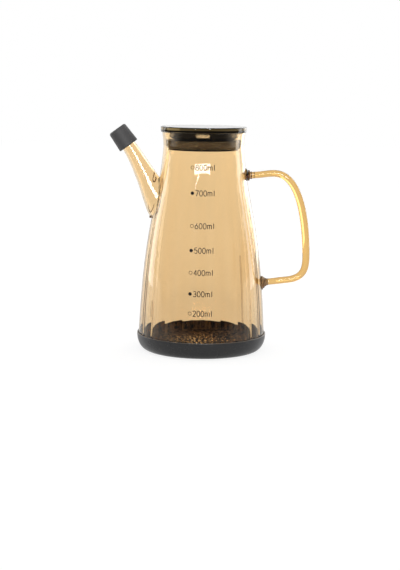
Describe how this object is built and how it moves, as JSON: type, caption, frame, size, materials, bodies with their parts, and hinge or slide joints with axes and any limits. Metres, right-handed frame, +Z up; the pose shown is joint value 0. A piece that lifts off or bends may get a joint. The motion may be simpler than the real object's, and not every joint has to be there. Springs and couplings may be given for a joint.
{
  "type": "oil dispenser jug",
  "caption": "Conical glass oil jug with a drawn pouring spout, a looped rod handle, a disc lid with a gasket, a spout cap and a silicone base sleeve.",
  "frame": {"origin": "on the jug's axis, at the underside of the base sleeve that it stands on", "axes": "+Z up along the jug's axis, +X towards the handle, spout towards -X"},
  "size_m": [0.16, 0.1032, 0.1791],
  "materials": {
    "amber_glass": "smooth clear amber borosilicate glass",
    "sleeve_silicone": "matte dark grey silicone",
    "lid_glass": "smooth clear smoky amber glass",
    "plug_plastic": "glossy black plastic",
    "gasket_silicone": "satin grey silicone",
    "cap_silicone": "matte grey silicone"
  },
  "bodies": {
    "root": {"glass_jug": "amber_glass", "base_sleeve": "sleeve_silicone", "lid_disc": "lid_glass", "lid_plug": "plug_plastic", "lid_gasket": "gasket_silicone", "spout_cap": "cap_silicone"}
  },
  "joints": []
}
